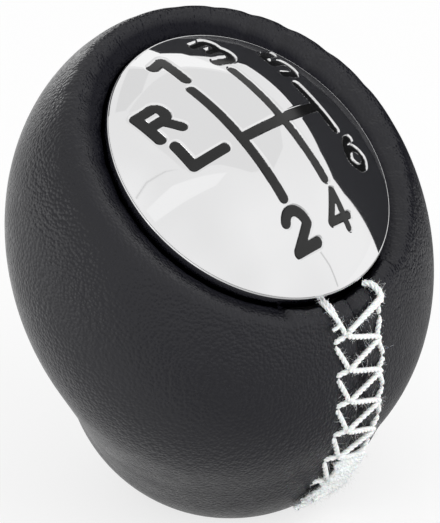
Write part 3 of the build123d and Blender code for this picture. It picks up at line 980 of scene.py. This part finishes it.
# %% Stitches and lacing
THREAD_RADIUS = 0.34 * MM
STRAND_RADIUS = 0.24 * MM
STITCH_PITCH = 11.3
STITCH_ROWS = 7
LEFT_ROWS = 6
FIRST_HOLE = 21.2
TOP_HOLE_RISE = 2.5
HOLE_SPLIT = 1.2
HOLE_X = 3.8 * MM
LOOP_X = 2.55 * MM
LOOP_RISE = 2.3
BESIDE_LOOP = 0.3 * MM
ABOVE_LOOP = 1.0
LOW = 0.05 * MM
UNDER = -0.9 * MM
LOOP_LIFT = 0.40 * MM
LACE_LIFT = 0.75 * MM
START_LEFT = [(-3.1, 35.6, LOW), (-3.45, 32.8, 0.3 * MM), (-3.45, 29.2, LOOP_LIFT)]
SPLIT_STRAND = [
    (-3.6, 35.8, LOW), (-4.05, 32.6, 0.35 * MM), (-3.6, 29.4, 0.5 * MM), (-2.9, 25.6, 0.6 * MM)
]
LOOSE_END = [(-3.2, 27.6, 0.6 * MM), (-3.8, 27.3, 0.7 * MM), (-4.4, 26.8, 0.5 * MM)]
FIRST_RIGHT_LOOP = [(3.3, 28.4, LOOP_LIFT)]
START_RIGHT = [
    (3.1, 34.8, LOW), (3.6, 33.4, 0.4 * MM), (3.75, 31.3, 0.6 * MM), (3.5, 29.2, LACE_LIFT)
]
SECOND_START = [
    (3.4, 34.8, LOW), (3.9, 33.2, 0.4 * MM), (4.05, 31.0, 0.6 * MM), (3.7, 28.6, LACE_LIFT)
]


def hole_pair(x, angle):
    """A stitch goes under the leather here: in at one hole and out at the next."""
    steps = ((HOLE_SPLIT, LOW), (0.0, UNDER), (-HOLE_SPLIT, LOW))
    return [on_seam(x, angle + step, lift) for step, lift in steps]


left_stitches = along_seam(START_LEFT)
split_strand = along_seam(SPLIT_STRAND)
loose_end = along_seam(LOOSE_END)
right_stitches = along_seam(FIRST_RIGHT_LOOP)
lacing = along_seam(START_RIGHT)
for row in range(STITCH_ROWS):
    hole = FIRST_HOLE - STITCH_PITCH * row
    left_angle = hole + LOOP_RISE
    right_angle = left_angle + STITCH_PITCH / 2
    if row < LEFT_ROWS:
        left_stitches += [on_seam(-LOOP_X, left_angle, LOOP_LIFT)] + hole_pair(-HOLE_X, hole)
    if row > 0:
        right_stitches += [on_seam(LOOP_X, right_angle, LOOP_LIFT)]
        lacing += [on_seam(LOOP_X, right_angle, LACE_LIFT)]
    right_stitches += hole_pair(HOLE_X, hole + (TOP_HOLE_RISE if row == 0 else 0))
    lacing += [on_seam(-LOOP_X, left_angle, LACE_LIFT)]
second_start = along_seam(SECOND_START)
second_start.append(on_seam(-LOOP_X + BESIDE_LOOP, FIRST_HOLE + LOOP_RISE + ABOVE_LOOP, LACE_LIFT))
print(len(lacing), "turns in the lacing")

# %% [markdown]
# Lower down the lacing is finished off with close turns, which lie side by side like a bandage and widen
# towards the foot. They are wound by hand, so each one differs a little, by a seeded random generator.

# %% Close turns below the lacing
CLOSE_TURNS = 15
CLOSE_FROM = -26.5
CLOSE_PITCH = 1.6
CLOSE_X = 2.5
CLOSE_SPREAD = 0.13
CLOSE_LIFT = 0.65 * MM
REACH_VARIES = (0.78, 1.06)
TILT_VARIES = (-0.8, 0.8)
LIFT_VARIES = (0.7, 1.2)
CLOSE_SEED = 3

close_turns = []
unevenness = random.Random(CLOSE_SEED)
for turn in range(CLOSE_TURNS):
    angle = CLOSE_FROM - CLOSE_PITCH * turn
    for side, reach in ((1, CLOSE_X), (-1, CLOSE_X + CLOSE_SPREAD * turn)):
        x = side * reach * unevenness.uniform(*REACH_VARIES)
        tilt = unevenness.uniform(*TILT_VARIES) + (1 + side) * CLOSE_PITCH / 4
        lift = CLOSE_LIFT * unevenness.uniform(*LIFT_VARIES)
        close_turns += along_seam([(x, angle + tilt, lift)])
print(CLOSE_TURNS, "close turns below the lacing")

# %% [markdown]
# Thread could be drawn as a curve with a round bevel, but seen close its plies show. They are tubes, and
# a tube needs a path in even steps with rounded turns, and two directions across the path that don't spin
# on the way.

# %% Paths and tubes
PATH_STEP = 0.14 * MM
CURVE_SHARE = 0.45


def rounded_path(points, step):
    """A curve through the points with rounded turns, cut into even steps."""
    points = np.array([points[0]] + list(points) + [points[-1]])
    curve = []
    for a, b, c, d in zip(points, points[1:], points[2:], points[3:]):
        count = max(2, int(np.linalg.norm(c - b) / step))
        for t in np.linspace(0, 1, count, endpoint=False):
            bend = (2 * b, c - a, 2 * a - 5 * b + 4 * c - d, 3 * b - a - 3 * c + d)
            pulled = 0.5 * (bend[0] + bend[1] * t + bend[2] * t**2 + bend[3] * t**3)
            curve.append(CURVE_SHARE * pulled + (1 - CURVE_SHARE) * (b + (c - b) * t))
    return np.array(curve + [points[-1]])


def frames_along(path):
    """Two directions across the path at each point, turned as little as possible from one to the next."""
    ways = np.gradient(path, axis=0)
    ways /= np.linalg.norm(ways, axis=1)[:, None]
    side = np.cross(ways[0], (0, 0, 1.0))
    sides = []
    for way in ways:
        side = side - way * (side @ way)
        side /= np.linalg.norm(side)
        sides.append(side)
    sides = np.array(sides)
    return sides, np.cross(ways, sides)


def tube(path, across, along_side, radius, sides):
    """Points and quads of a tube round a path."""
    turn = np.arange(sides) * 2 * math.pi / sides
    ring = across[:, None] * np.cos(turn)[None, :, None] + along_side[:, None] * np.sin(turn)[None, :, None]
    return (path[:, None] + radius * ring).reshape(-1, 3), grid_faces(len(path), sides, True)


lacing_path = rounded_path(lacing, PATH_STEP)
print(len(lacing_path), "steps along the lacing")

# %% [markdown]
# Sewing thread is three plies twisted round each other, with loose fibres that stand off and soften its
# edge. Each ply is a thin tube wound round the thread's path, and the fibres are fine three-sided hairs,
# placed by a seeded random generator so that every run gives the same thread.

# %% Twisted thread
PLIES = 3
PLY_SIDES = 6
PLY_OFFSET = 0.46
PLY_SHARE = 0.56
TWIST_LENGTH = 2.0 * MM
FIBRES_PER_MM = 9.0
FIBRE_RADIUS = 0.012 * MM
FIBRE_SIDES = 3
FIBRE_REACH = (0.15, 0.75)
FIBRE_ROOT = 0.8
FIBRE_LEAN = 0.6


def twisted_thread(points, radius, seed):
    """Three twisted plies and their loose fibres, along a path."""
    path = rounded_path(points, PATH_STEP)
    sides, ups = frames_along(path)
    length = np.concatenate([[0], np.cumsum(np.linalg.norm(np.diff(path, axis=0), axis=1))])
    all_points, all_faces, count = [], [], 0
    for ply in range(PLIES):
        angle = (2 * math.pi * (length / TWIST_LENGTH + ply / PLIES))[:, None]
        centre = path + PLY_OFFSET * radius * (sides * np.cos(angle) + ups * np.sin(angle))
        ply_points, ply_faces = tube(centre, sides, ups, PLY_SHARE * radius, PLY_SIDES)
        all_points.append(ply_points)
        all_faces.append(ply_faces + count)
        count += len(ply_points)
    chance = random.Random(seed)
    for _ in range(int(length[-1] / MM * FIBRES_PER_MM)):
        at = chance.randrange(len(path))
        turn = chance.uniform(0, 2 * math.pi)
        off = sides[at] * math.cos(turn) + ups[at] * math.sin(turn)
        lean = np.array([chance.uniform(-1, 1) for _ in range(3)])
        reach = chance.uniform(*FIBRE_REACH) * MM
        root = path[at] + off * radius * FIBRE_ROOT
        bend = root + (off + FIBRE_LEAN * lean) * reach / 2
        tip = bend + (off / 2 + lean) * reach / 2
        hair = np.array([root, bend, tip])
        hair_sides, hair_ups = frames_along(hair)
        hair_points, hair_faces = tube(hair, hair_sides, hair_ups, FIBRE_RADIUS, FIBRE_SIDES)
        all_points.append(hair_points)
        all_faces.append(hair_faces + count)
        count += len(hair_points)
    return np.vstack(all_points), np.vstack(all_faces)


# %% [markdown]
# Cotton is white, dull and a little furry. Light goes a short way into it, and a soft sheen stands for
# the fibres that are too fine to be made.

# %% White cotton
DULL_COTTON = (0.84, 0.84, 0.83)
BRIGHT_COTTON = (0.93, 0.93, 0.92)
cotton, cotton_tree, cotton_shader = new_material(
    "white_thread", Roughness=0.85, Sheen_Weight=0.3, Subsurface_Weight=0.15, Subsurface_Scale=0.0006
)
cotton_noise = noise_over(cotton_tree, 1800.0, 3.0)
cotton_tone = ramp_between(cotton_tree, cotton_noise, "Fac", [(0.3, DULL_COTTON), (0.7, BRIGHT_COTTON)])
join(cotton_tree, cotton_tone, "Color", cotton_shader, "Base Color")
cotton_bump = add_node(cotton_tree, "ShaderNodeBump", {"Strength": 0.4, "Distance": 0.00005})
join(cotton_tree, cotton_noise, "Fac", cotton_bump, "Height")
join(cotton_tree, cotton_bump, "Normal", cotton_shader, "Normal")
print(len(cotton_tree.nodes), "nodes in the cotton")

# %% [markdown]
# Now the three threads are laid. A piece may be made of several runs, each with its own radius, and the
# length that it takes is printed, because a real thread would have to be that long.

# %% The three threads
thread_runs = {
    "edge_stitch_left": [
        (left_stitches, THREAD_RADIUS),
        (split_strand, STRAND_RADIUS),
        (loose_end, STRAND_RADIUS),
    ],
    "edge_stitch_right": [(right_stitches, THREAD_RADIUS)],
    "lacing_thread": [
        (lacing, THREAD_RADIUS),
        (second_start, THREAD_RADIUS),
        (close_turns, THREAD_RADIUS),
    ],
}
for seed, (name, runs_of_thread) in enumerate(thread_runs.items()):
    thread_points, thread_faces = np.zeros((0, 3)), np.zeros((0, 4), int)
    for points, radius in runs_of_thread:
        run_points, run_faces = twisted_thread(points, radius, seed)
        thread_faces = np.vstack([thread_faces, run_faces + len(thread_points)])
        thread_points = np.vstack([thread_points, run_points])
    make_piece("twisted_" + name, thread_points, thread_faces, cotton, "thread", name)
    paths = [rounded_path(points, PATH_STEP) for points, _ in runs_of_thread]
    laid = sum(np.linalg.norm(np.diff(path, axis=0), axis=1).sum() for path in paths)
    print(name, "takes", round(laid / MM), "mm of thread")

# %% [markdown]
# The pieces inside show only from below: the sleeve with its socket, the clip in its mouth, and a little
# of the core. Their solids have the right shape already, so they only need finishes: turned aluminium,
# spring steel and moulded plastic, each with a tone that varies a little.

# %% Finishes of the inner pieces
def finish_solid(name, material):
    """Give a solid that stays as it is its own finish."""
    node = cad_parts[name]
    node.data.materials.clear()
    node.data.materials.append(material)


def plain_finish(name, dark, light, scale, **values):
    """A finish whose tone varies a little over the surface."""
    made, tree, shader = new_material(name, **values)
    noise = noise_over(tree, scale, 3.0)
    shade = ramp_between(tree, noise, "Fac", [(0.3, dark), (0.7, light)])
    join(tree, shade, "Color", shader, "Base Color")
    bump = add_node(tree, "ShaderNodeBump", {"Strength": 0.15, "Distance": 0.00005})
    join(tree, noise, "Fac", bump, "Height")
    join(tree, bump, "Normal", shader, "Normal")
    return made


moulded = plain_finish("moulded_plastic", 0.022, 0.03, 1500.0, Roughness=0.55)
aluminium = plain_finish("turned_aluminium", 0.62, 0.72, 700.0, Metallic=1.0, Roughness=0.32)
steel = plain_finish("spring_steel", 0.36, 0.46, 900.0, Metallic=1.0, Roughness=0.28)
inner = {"core": moulded, "cap_plate": moulded, "lever_sleeve": aluminium, "spring_clip": steel}
for name, finish in inner.items():
    finish_solid(name, finish)
print(len(inner), "solids keep their own shape")
